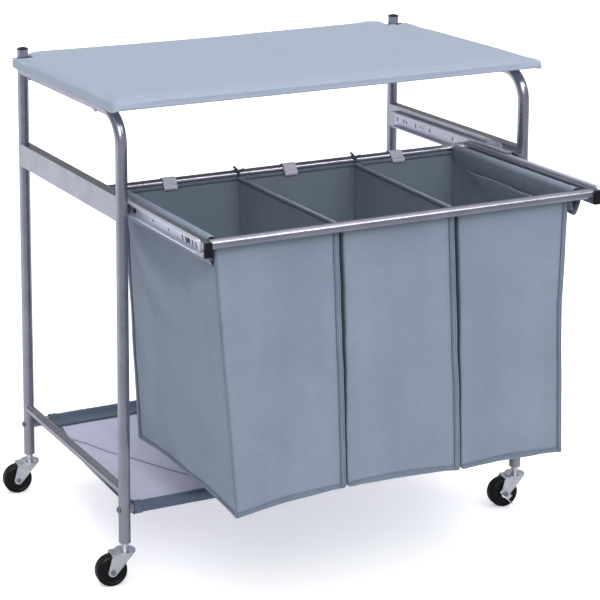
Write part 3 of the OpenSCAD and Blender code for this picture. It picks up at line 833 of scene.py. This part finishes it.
def make_sleeve(name, rod, out):
    """Sleeve of a bag side round its rod: a drop-shaped loop of cloth, open at both ends."""
    grip = 8.3 * MM
    tail = rod.z - STITCH_Z
    profile = [(-1.0 * MM, -tail), (2.5 * MM, -0.75 * tail), (6.8 * MM, -0.45 * tail), (9.4 * MM, -0.2 * tail)]
    profile += arc(0, 0, grip, -8, 188, 14)
    profile += [(-8.8 * MM, -0.22 * tail), (-8.2 * MM, -0.45 * tail), (-6.8 * MM, -0.72 * tail), (-6.0 * MM, -0.8 * tail)]
    spots = even_steps(FRONT_BAR.y + BAR_R + 2.5 * MM, BACK_BAR.y - BAR_R - 3 * MM, 5 * MM)

    def place(p, y, k):
        low = smooth(-p[1] / tail)
        wrinkle = 0.9 * MM * math.sin(y * 210 + 4 * k / len(profile)) * (0.35 + low)
        sway = 2.2 * MM * ripple((y, 0, k * 0.002), 0.05, 21 + out) * low
        end = smooth((y - spots[0]) / (30 * MM))
        flare = (1 - end) * 1.5 * MM * (1 if p[0] > 0 else 0)
        x = rod.x + out * (p[0] + flare + (wrinkle + sway) * 0.55)
        pinch = 1.1 * MM * ripple((y, p[0], 0), 0.022, 31 + out) * (0.25 + low)
        return Vector((x + out * pinch, y, rod.z + p[1] + wrinkle * 0.35))

    made = sweep(name, profile, spots, BAG_CLOTH, place)
    thicken(made, 1.2 * MM, 1, 0.0)
    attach(made, "drawer")
    seam = []
    for y in spots:
        n = Vector((out, 0, -0.2)).normalized()
        seam.append((place(profile[1], y, 1) + n * 0.9 * MM, n))
    thread = stitches(name + "_stitching", [seam])
    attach(thread, "drawer")


def bar_loop(x, width, thickness, front_drop, back_drop, gap):
    """Profile of a strap over the back bar, in Y and Z, from front tail to back tail."""
    r = BAR_R + thickness / 2 + 0.15 * MM
    wall = BACK_BAR.y - BAR_R - 2 * MM
    front = wall - CLOTH_T - 1.9 * MM
    pts = [(front, BACK_BAR.z - front_drop), (front - 0.3 * MM, BACK_BAR.z - front_drop * 0.7)]
    pts += [(front + gap, BACK_BAR.z - 0.25 * front_drop)]
    pts += arc(BACK_BAR.y, BACK_BAR.z, r, 185, -60, 16)
    pts += [(wall + 2.2 * MM, BACK_BAR.z - 0.62 * back_drop), (wall + 1.6 * MM, BACK_BAR.z - back_drop)]
    return pts


def make_loops():
    """Three wide tape loops from the bag backs over the back bar."""
    lo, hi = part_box("bag_loops")
    width = 24 * MM
    centres = [lo.x + width / 2, CX - 9 * MM, hi.x - width / 2]
    for number, x in enumerate(centres):
        profile = bar_loop(x, width, 1.5 * MM, 9 * MM, 30 * MM, -0.2 * MM)
        spots = even_steps(x - width / 2, x + width / 2, 2.5 * MM)

        def place(p, spot, k):
            curl = 0.35 * MM * math.sin(spot * 900 + k) * smooth(abs(spot - x) / (width / 2))
            skew = (p[1] - BACK_BAR.z) * (0.10 - 0.09 * number)
            return Vector((spot + skew, p[0] + curl, p[1] + curl))

        made = sweep(f"hanging_loop_{number + 1}", profile, spots, LOOP_CLOTH, place)
        thicken(made, 1.5 * MM, 1, 0.0)
        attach(made, "drawer")
        n = Vector((0, -1, 0))
        row = [(place(profile[0], v, 0) + n * 1.0 * MM + Vector((0, 0, 2 * MM)), n) for v in spots]
        thread = stitches(f"hanging_loop_{number + 1}_stitching", [row])
        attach(thread, "drawer")
        if number == 0:
            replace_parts(made, "bag_loops")


def ribbon(name, path, width, material, thickness=0.9 * MM, side=Vector((1, 0, 0))):
    """Flat tape along a path of points."""
    verts, uvs, faces = [], [], []
    run = 0.0
    for k, p in enumerate(path):
        if k:
            run += (p - path[k - 1]).length
        verts.extend([p - side * width / 2, p + side * width / 2])
        uvs.append(run)
    for k in range(len(path) - 1):
        faces.append((2 * k, 2 * k + 1, 2 * k + 3, 2 * k + 2))
    flat = []
    for k in range(len(path) - 1):
        flat.extend([(0, uvs[k]), (width, uvs[k]), (width, uvs[k + 1]), (0, uvs[k + 1])])
    made = add_mesh(name, verts, faces, flat, material)
    thicken(made, thickness, 2, 0.0)
    return made


def make_ties():
    """Narrow tapes knotted round the back bar where the dividers meet it."""
    lo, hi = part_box("divider_ties")
    width = 5 * MM
    for number, x in enumerate((lo.x + width / 2, hi.x - width / 2)):
        name = ("left_tie", "right_tie")[number]
        r = BAR_R + 0.7 * MM
        ring = arc(BACK_BAR.y, BACK_BAR.z, r, 200, -150, 22)
        path = [Vector((x + 0.8 * MM * math.sin(k), y, z)) for k, (y, z) in enumerate(ring)]
        wall = BACK_BAR.y - BAR_R - 5.5 * MM
        lead = [Vector((x, wall, BACK_BAR.z - 22 * MM)), Vector((x, wall - 0.5 * MM, BACK_BAR.z - 12 * MM))]
        band = ribbon(name + "_band", lead + path, width, TIE_CLOTH)
        knot_at = Vector((x, BACK_BAR.y - BAR_R * 0.75, BACK_BAR.z + BAR_R * 0.85))
        knot = bpy.data.meshes.new(name + "_knot")
        bm = bmesh.new()
        bmesh.ops.create_icosphere(bm, subdivisions=3, radius=4.2 * MM)
        for v in bm.verts:
            v.co *= 1 + 0.22 * ripple(v.co, 0.0035, 7 + number)
            v.co = Vector((v.co.x * 1.25, v.co.y * 0.8, v.co.z * 0.8)) + knot_at
        bm.to_mesh(knot)
        bm.free()
        knot.polygons.foreach_set("use_smooth", [True] * len(knot.polygons))
        knot.materials.append(TIE_CLOTH)
        knot = bpy.data.objects.new(name + "_knot", knot)
        SCENE.collection.objects.link(knot)
        tails = []
        for lean, rise, reach in ((-1, 15.0, 10.0), (1, 5.0, 11.0)):
            bend = [Vector((lean * reach * t, -1.2 * t * t, rise * (t - 0.35 * t * t))) * MM for t in (0.1, 0.4, 0.7, 1.0)]
            tip = ribbon(f"{name}_tail_{'a' if lean < 0 else 'b'}", [knot_at + b for b in bend], 5 * MM, TIE_CLOTH,
                         1.2 * MM, Vector((0.75, 0.55, 0.35)).normalized())
            tails.append(tip)
        for piece in [band, knot] + tails:
            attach(piece, "drawer")
        if number == 0:
            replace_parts(band, "divider_ties")


# ---------- shelf ----------

SHELF_Z = FRONT_TUBE.z
SHELF_TUBE_R = (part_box("front_shelf_tube")[1].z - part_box("front_shelf_tube")[0].z) / 2
FRONT_HEM = 19 * MM
BACK_HEM = 35 * MM


def shelf_sag(x, y):
    """Height of the sheet above its tubes: a slack sag with soft cross folds."""
    u = (x - SHELF_LO.x) / (SHELF_HI.x - SHELF_LO.x)
    v = (y - FRONT_TUBE.y) / (BACK_TUBE.y - FRONT_TUBE.y)
    belly = math.sin(math.pi * min(1, max(0, v)))
    sag = -5.5 * MM * belly * (0.75 + 0.25 * math.sin(math.pi * u))
    folds = 1.5 * MM * math.sin(x * 26 + 3 * y) * belly
    return sag + folds + 1.2 * MM * ripple((x, y, 0), 0.12, 31) * belly


# Fold crease across the sheet, in millimetres from the middle of the shelf. It is laid as a low ridge in a darker
# cloth, which is painted crease shade.
FOLD_CREASE = ((-336, 142), (-308, 96), (-286, 45), (-262, 2), (-232, -62), (-190, -140))


def shelf_x(x, y):
    """The sheet's left edge runs out towards the front post."""
    v = (y - FRONT_TUBE.y) / (BACK_TUBE.y - FRONT_TUBE.y)
    return x - 25 * MM * smooth((SHELF_LO.x + 70 * MM - x) / (70 * MM)) * (1 - min(1, max(0, v)))


def make_shelf_sheet():
    xs = even_steps(SHELF_LO.x + 1 * MM, SHELF_HI.x - 1 * MM, 10 * MM)
    ys = even_steps(FRONT_TUBE.y + SHELF_TUBE_R + 3 * MM, BACK_TUBE.y - SHELF_TUBE_R - 3 * MM, 10 * MM)
    verts = [Vector((shelf_x(x, y), y, SHELF_Z + shelf_sag(x, y))) for y in ys for x in xs]
    n = len(xs)
    faces, uvs = [], []
    for j in range(len(ys) - 1):
        for i in range(n - 1):
            ids = (j * n + i, j * n + i + 1, (j + 1) * n + i + 1, (j + 1) * n + i)
            faces.append(ids)
            uvs.extend([(verts[k].x, verts[k].y) for k in ids])
    sheet = add_mesh("shelf_sheet", verts, faces, uvs, SHELF_CLOTH)
    held = [j * n + i for j in range(len(ys)) for i in range(n) if j < 2 or j > len(ys) - 4]
    return sheet, held, (n, len(ys))


def sheet_strip(sheet, size, cells, name, lift, thickness, material):
    """Copies cells of the sheet, as (row, column) pairs, lifted off it."""
    data = sheet.data
    seen, verts, faces, uvs = {}, [], [], []
    for j, i in cells:
        face = data.polygons[j * (size[0] - 1) + i]
        ids = []
        for k in face.vertices:
            if k not in seen:
                seen[k] = len(verts)
                verts.append(data.vertices[k].co + data.vertices[k].normal * lift)
            ids.append(seen[k])
        faces.append(ids)
        uvs.extend([tuple(data.uv_layers[0].data[c].uv) for c in face.loop_indices])
    made = add_mesh(name, verts, faces, uvs, material)
    thicken(made, thickness, 1, 0.0)
    return made


def shelf_piece(piece):
    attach(piece, "frame")
    return piece


def make_hem(name, tube, inward, width):
    """Cloth sleeve round a shelf tube, with a flat doubled part that runs onto the sheet."""
    r = SHELF_TUBE_R + 1.0 * MM
    flat = [(width, 1.1 * MM), (width * 0.75, 1.2 * MM), (r + 4 * MM, 1.6 * MM), (r + 0.8 * MM, 3.6 * MM)]
    under = [(a, -b) for a, b in reversed(flat)]
    profile = flat + arc(0, 0, r, 38, 322, 22) + under
    spots = even_steps(SHELF_LO.x, SHELF_HI.x, 6 * MM)

    def place(p, x, k):
        out = smooth((p[0] - r) / (6 * MM))
        ragged = 0.8 * MM * (math.sin(x * 420) + ripple((x, 0, 0), 0.02, 3)) * smooth((p[0] - width * 0.8) / (5 * MM))
        y = tube.y + inward * (p[0] + ragged)
        sag = shelf_sag(x, y) * out
        crumple = 0.45 * MM * ripple((x, k * 0.004, 0), 0.018, 41)
        return Vector((shelf_x(x, y), y, tube.z + p[1] + sag + crumple))

    made = sweep(name, profile, spots, HEM_CLOTH, place)
    thicken(made, 1.0 * MM, 1, 0.0)
    shelf_piece(made)
    up = Vector((0, 0, 1))
    rows = []
    for k, share in ((0, 0.5), (2, 0.0)):
        rows.append([(place(profile[k], x, k).lerp(place(profile[k + 1], x, k + 1), share) + up * 0.9 * MM, up) for x in spots])
    shelf_piece(stitches(name + "_stitching", rows))
    for side, ends in (("left", spots[:3]), ("right", spots[-3:])):
        ring = arc(0, 0, r + 1.2 * MM, 12, 348, 30)
        cuff = sweep(f"{name}_{side}_end", ring, ends, HEM_CLOTH,
                     lambda p, x, k: Vector((shelf_x(x, tube.y), tube.y + inward * p[0], tube.z + p[1])))
        thicken(cuff, 0.9 * MM, 1, 0.0)
        shelf_piece(cuff)


def make_shelf(sheet, size):
    """Hems, edge bindings and the fold crease ridge, laid on the simulated sheet. The ridge's darker cloth is painted
    crease shade.
    """
    n, rows = size
    make_hem("shelf_front_hem", FRONT_TUBE, 1, FRONT_HEM)
    make_hem("shelf_back_hem", BACK_TUBE, -1, BACK_HEM)
    for side, i in (("left", 0), ("right", n - 2)):
        cells = [(j, i) for j in range(rows - 1)]
        shelf_piece(sheet_strip(sheet, size, cells, f"shelf_{side}_binding", 0.0, 3.2 * MM, HEM_CLOTH))
    middle_y = (FRONT_TUBE.y + BACK_TUBE.y) / 2
    line = [(CX + x * MM, middle_y + y * MM) for x, y in FOLD_CREASE]
    heights = [v.co.copy() for v in sheet.data.vertices]
    path = []
    for a, b in zip(line, line[1:]):
        for k in range(8):
            x, y = mix(a[0], b[0], k / 8), mix(a[1], b[1], k / 8)
            near = min(heights, key=lambda c: (c.x - x) ** 2 + (c.y - y) ** 2)
            path.append(Vector((x, y, near.z + 1.1 * MM)))
    smoothed = [path[0]]
    for k in range(1, len(path) - 1):
        smoothed.append((path[k - 1] + path[k] * 2 + path[k + 1]) / 4)
    # fold ridge in darker cloth: painted shade along the crease
    shelf_piece(ribbon("shelf_fold_seam", smoothed, 4 * MM, FOLD_SHADE_CLOTH, 1.0 * MM))


# ---------- ironing top ----------

PAD_EDGE = 1.5 * MM
NOTCH = 12.5 * MM


def top_outline(inset):
    """Outline of the ironing top seen from above, slotted for the back posts."""
    x0, x1 = COVER_LO.x + inset, COVER_HI.x - inset
    y0, y1 = COVER_LO.y + inset, COVER_HI.y - inset
    pts = [(x0 + 6 * MM, y0), (x1 - 6 * MM, y0), (x1, y0 + 6 * MM)]
    reach = NOTCH + inset
    right = POST_BACK_RIGHT
    left = POST_BACK_LEFT
    shoulder = right.y - 8 * MM - inset
    pts += [(x1, shoulder), (right.x + reach, right.y + 1 * MM - inset), (right.x + reach, right.y - reach),
            (right.x - reach, right.y - reach), (right.x - reach, y1 - 10 * MM), (right.x - reach - 14 * MM, y1)]
    pts += [(left.x + reach + 14 * MM, y1), (left.x + reach, y1 - 10 * MM), (left.x + reach, left.y - reach),
            (left.x - reach, left.y - reach), (left.x - reach, left.y + 1 * MM - inset), (x0, shoulder)]
    pts.append((x0, y0 + 6 * MM))
    return pts


def slab(name, outline, z0, z1, material):
    """Closed slab with that outline."""
    mesh = bpy.data.meshes.new(name)
    bm = bmesh.new()
    face = bm.faces.new([bm.verts.new((x, y, z0)) for x, y in outline])
    pulled = bmesh.ops.extrude_face_region(bm, geom=[face])["geom"]
    for v in [g for g in pulled if isinstance(g, bmesh.types.BMVert)]:
        v.co.z = z1
    bmesh.ops.recalc_face_normals(bm, faces=bm.faces)
    bm.to_mesh(mesh)
    bm.free()
    obj = bpy.data.objects.new(name, mesh)
    SCENE.collection.objects.link(obj)
    mesh.materials.append(material)
    mesh.polygons.foreach_set("use_smooth", [True] * len(mesh.polygons))
    return obj


def even_quads(obj, voxel):
    """Remeshes a closed piece to even quads."""
    remesh = obj.modifiers.new("even", "REMESH")
    remesh.mode = "VOXEL"
    remesh.voxel_size = voxel
    apply_modifiers(obj)
    obj.data.polygons.foreach_set("use_smooth", [True] * len(obj.data.polygons))


def make_cover():
    """The cover starts a little thin and swells in the simulation."""
    cover = slab("ironing_top_cover", top_outline(0.5 * MM), COVER_LO.z, COVER_HI.z - 1.0 * MM, TOP_CLOTH)
    even_quads(cover, 5 * MM)
    floor = COVER_LO.z + 4 * MM
    held = [v.index for v in cover.data.vertices if v.co.z < floor]
    return cover, held


def dress_cover(cover):
    """Rounded, slightly gathered edges, puckers by the posts, and an open underside."""
    for post in (POST_BACK_LEFT, POST_BACK_RIGHT):
        for v in cover.data.vertices:
            away = Vector((v.co.x - post.x, v.co.y - post.y))
            if v.co.z > COVER_LO.z + 6 * MM and away.length < 0.09:
                turn = math.atan2(away.y, away.x)
                v.co.z += 1.3 * MM * math.cos(turn * 9 + 1) * smooth(1 - (away.length - NOTCH) / 0.07)
    for v in cover.data.vertices:
        if v.co.z > COVER_LO.z + 6 * MM:
            v.co.z += 0.5 * MM * ripple(v.co, 0.11, 51)
    centre = (COVER_LO.x + COVER_HI.x) / 2
    for v in cover.data.vertices:
        if v.co.z < COVER_LO.z + 7 * MM:
            inside = COVER_HI.x - centre - abs(v.co.x - centre)
            hang = 4.2 * MM + 0.7 * MM * math.sin(v.co.y * 170)
            v.co.z -= hang * smooth((12 * MM - inside) / (9 * MM))
    hem = 42 * MM
    x0, x1 = POST_BACK_LEFT.x + NOTCH + hem, POST_BACK_RIGHT.x - NOTCH - hem
    y0, y1 = COVER_LO.y + hem, COVER_HI.y - hem
    bm = bmesh.new()
    bm.from_mesh(cover.data)
    gone = []
    for face in bm.faces:
        c = face.calc_center_median()
        if face.normal.z < -0.7 and x0 < c.x < x1 and y0 < c.y < y1:
            gone.append(face)
    bmesh.ops.delete(bm, geom=gone, context="FACES")
    uv = bm.loops.layers.uv.new("cloth")
    for face in bm.faces:
        n = face.normal
        for loop in face.loops:
            c = loop.vert.co
            loop[uv].uv = (c.x, c.y) if abs(n.z) > 0.6 else (c.x + c.y, c.z)
    bm.to_mesh(cover.data)
    bm.free()
    thicken(cover, 0.9 * MM, 1, -1.0)
    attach(cover, "frame")
    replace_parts(cover, "board_cover")


def make_pad():
    lo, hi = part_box("board_pad")
    pad = slab("foam_pad", top_outline(7 * MM), lo.z, hi.z - 2.5 * MM, foam_finish())
    edge = pad.modifiers.new("edge", "BEVEL")
    edge.width = 1.2 * MM
    edge.segments = 3
    apply_modifiers(pad)
    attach(pad, "frame")
    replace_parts(pad, "board_pad")


# ---------- stage ----------

def lens_shift(camera, prop, value):
    """The main view is off the lens axis. Any other view of this camera is centred."""
    curve = camera.data.driver_add(prop).driver
    curve.type = "SCRIPTED"
    for axis in "XYZ":
        var = curve.variables.new()
        var.name = axis.lower()
        var.type = "TRANSFORMS"
        var.targets[0].id = camera
        var.targets[0].transform_type = "LOC_" + axis
    near = " and ".join(f"abs({a} - {p:.4f}) < 0.001" for a, p in zip("xyz", camera.location))
    curve.expression = f"{value:.4f} if {near} else 0"


def make_camera():
    place = Vector((-1.575, -2.7615, 1.402))
    yaw, pitch, roll = 0.392, 0.162, -0.015
    ahead = Vector((math.sin(yaw) * math.cos(pitch), math.cos(yaw) * math.cos(pitch), -math.sin(pitch)))
    level = Vector((math.cos(yaw), -math.sin(yaw), 0))
    over = level.cross(ahead)
    right = math.cos(roll) * level + math.sin(roll) * over
    up = -math.sin(roll) * level + math.cos(roll) * over
    data = bpy.data.cameras.new("camera")
    data.sensor_width = 36
    data.lens = 117.17
    camera = bpy.data.objects.new("camera", data)
    SCENE.collection.objects.link(camera)
    camera.matrix_world = Matrix.Translation(place) @ Matrix((right, up, -ahead)).transposed().to_4x4()
    lens_shift(camera, "shift_x", 0.4161)
    lens_shift(camera, "shift_y", -0.4804)
    SCENE.camera = camera


def make_floor():
    """White floor. Reflections see it darker in front, as in a dim room."""
    size = 14
    corners = [(-size, -size, 0), (size, -size, 0), (size, size, 0), (-size, size, 0)]
    s = Shader("floor")
    rays = s.node("ShaderNodeLightPath").outputs
    depth = s.ramp(s.math("MULTIPLY_ADD", s.split(s.place["Object"])["Y"], 0.25),
                   (0.2, (0.30, 0.30, 0.31, 1)), (0.75, (0.95, 0.95, 0.95, 1)))
    s.color(s.blend(rays["Is Glossy Ray"], srgb(246, 246, 248), depth))
    s.set(Roughness=0.9, Emission_Color=(1, 1, 1, 1))
    s.link(s.math("MULTIPLY", rays["Is Camera Ray"], 0.45), s.bsdf.inputs["Emission Strength"])
    floor = add_mesh("floor", corners, [(0, 1, 2, 3)], None, s.material)


def sun(name, azimuth, elevation, strength, spread, tint=(1, 1, 1)):
    """Soft light from far away. Azimuth 0 comes from the front, 90 from the right."""
    data = bpy.data.lights.new(name, "SUN")
    data.energy = strength
    data.angle = math.radians(spread)
    data.color = tint
    lamp = bpy.data.objects.new(name, data)
    SCENE.collection.objects.link(lamp)
    a, e = math.radians(azimuth), math.radians(elevation)
    source = Vector((math.sin(a) * math.cos(e), -math.cos(a) * math.cos(e), math.sin(e)))
    lamp.rotation_mode = "QUATERNION"
    lamp.rotation_quaternion = source.to_track_quat("Z", "Y")
    return lamp


def make_lights():
    sun("overhead", -20, 70, 0.98, 80)
    sun("front", -12, 56, 0.12, 45)
    sun("fill", -24, 36, 0.72, 30)
    for name, azimuth, elevation, strength in (("streak", -28, 72, 1.4), ("low_streak", -30, 30, 0.26), ("bar_streak", 38, 38, 0.42)):
        streak = sun(name, azimuth, elevation, strength, 14)
        streak.visible_diffuse = False
    world = bpy.data.worlds.new("studio")
    SCENE.world = world
    world.use_nodes = True
    n = Nodes(world.node_tree)
    way = n.split(n.place["Generated"])
    rays = n.node("ShaderNodeLightPath").outputs
    soft = n.ramp(way["Z"], (0.0, level(0.30)), (0.25, level(0.62)), (1.0, level(1.28)))
    side = n.ramp(n.math("MULTIPLY_ADD", way["X"]), (0.1, level(0.30)), (0.6, level(1.0)))
    soft = n.blend(1.0, soft, side, "MULTIPLY")
    shiny = n.ramp(way["Z"], (0.0, level(0.30)), (0.5, level(0.34)), (0.78, level(0.80)), (1.0, level(0.55)))
    seen = n.blend(rays["Is Glossy Ray"], soft, shiny)
    seen = n.blend(rays["Is Camera Ray"], seen, (1, 1, 1, 1))
    n.link(seen, n.tree.nodes["Background"].inputs["Color"])
    SCENE.view_settings.view_transform = "Standard"


# ---------- build ----------

finish_cad_parts()
bags = bag_specs()
cover, cover_held = make_cover()
sheet, sheet_held, sheet_size = make_shelf_sheet()
for bag in bags:
    as_cloth(bag.obj, bag.pinned(), bag.seams(), pressure=0.35, gravity=0.5, stiff=20, bend=1, shrink=0.03)
as_cloth(cover, cover_held, pressure=4, stiff=15, bend=0.5)
as_cloth(sheet, sheet_held, gravity=1.0, stiff=12, bend=0.3)
run_cloth([(bag.obj, 8 * MM) for bag in bags] + [(cover, 3.5 * MM), (sheet, 6 * MM)])
for bag, node in zip(bags, ("left_bag", "middle_bag", "right_bag")):
    bag.sew()
    thicken(bag.obj, CLOTH_T)
    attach(bag.obj, "drawer")
    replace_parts(bag.obj, node)
make_sleeve("left_sleeve", LEFT_ROD, -1)
make_sleeve("right_sleeve", RIGHT_ROD, 1)
make_loops()
make_ties()
make_shelf(sheet, sheet_size)
thicken(sheet, 1.4 * MM, 1, 0.0)
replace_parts(shelf_piece(sheet), "shelf_fabric")
dress_cover(cover)
make_pad()

make_floor()
make_camera()
make_lights()
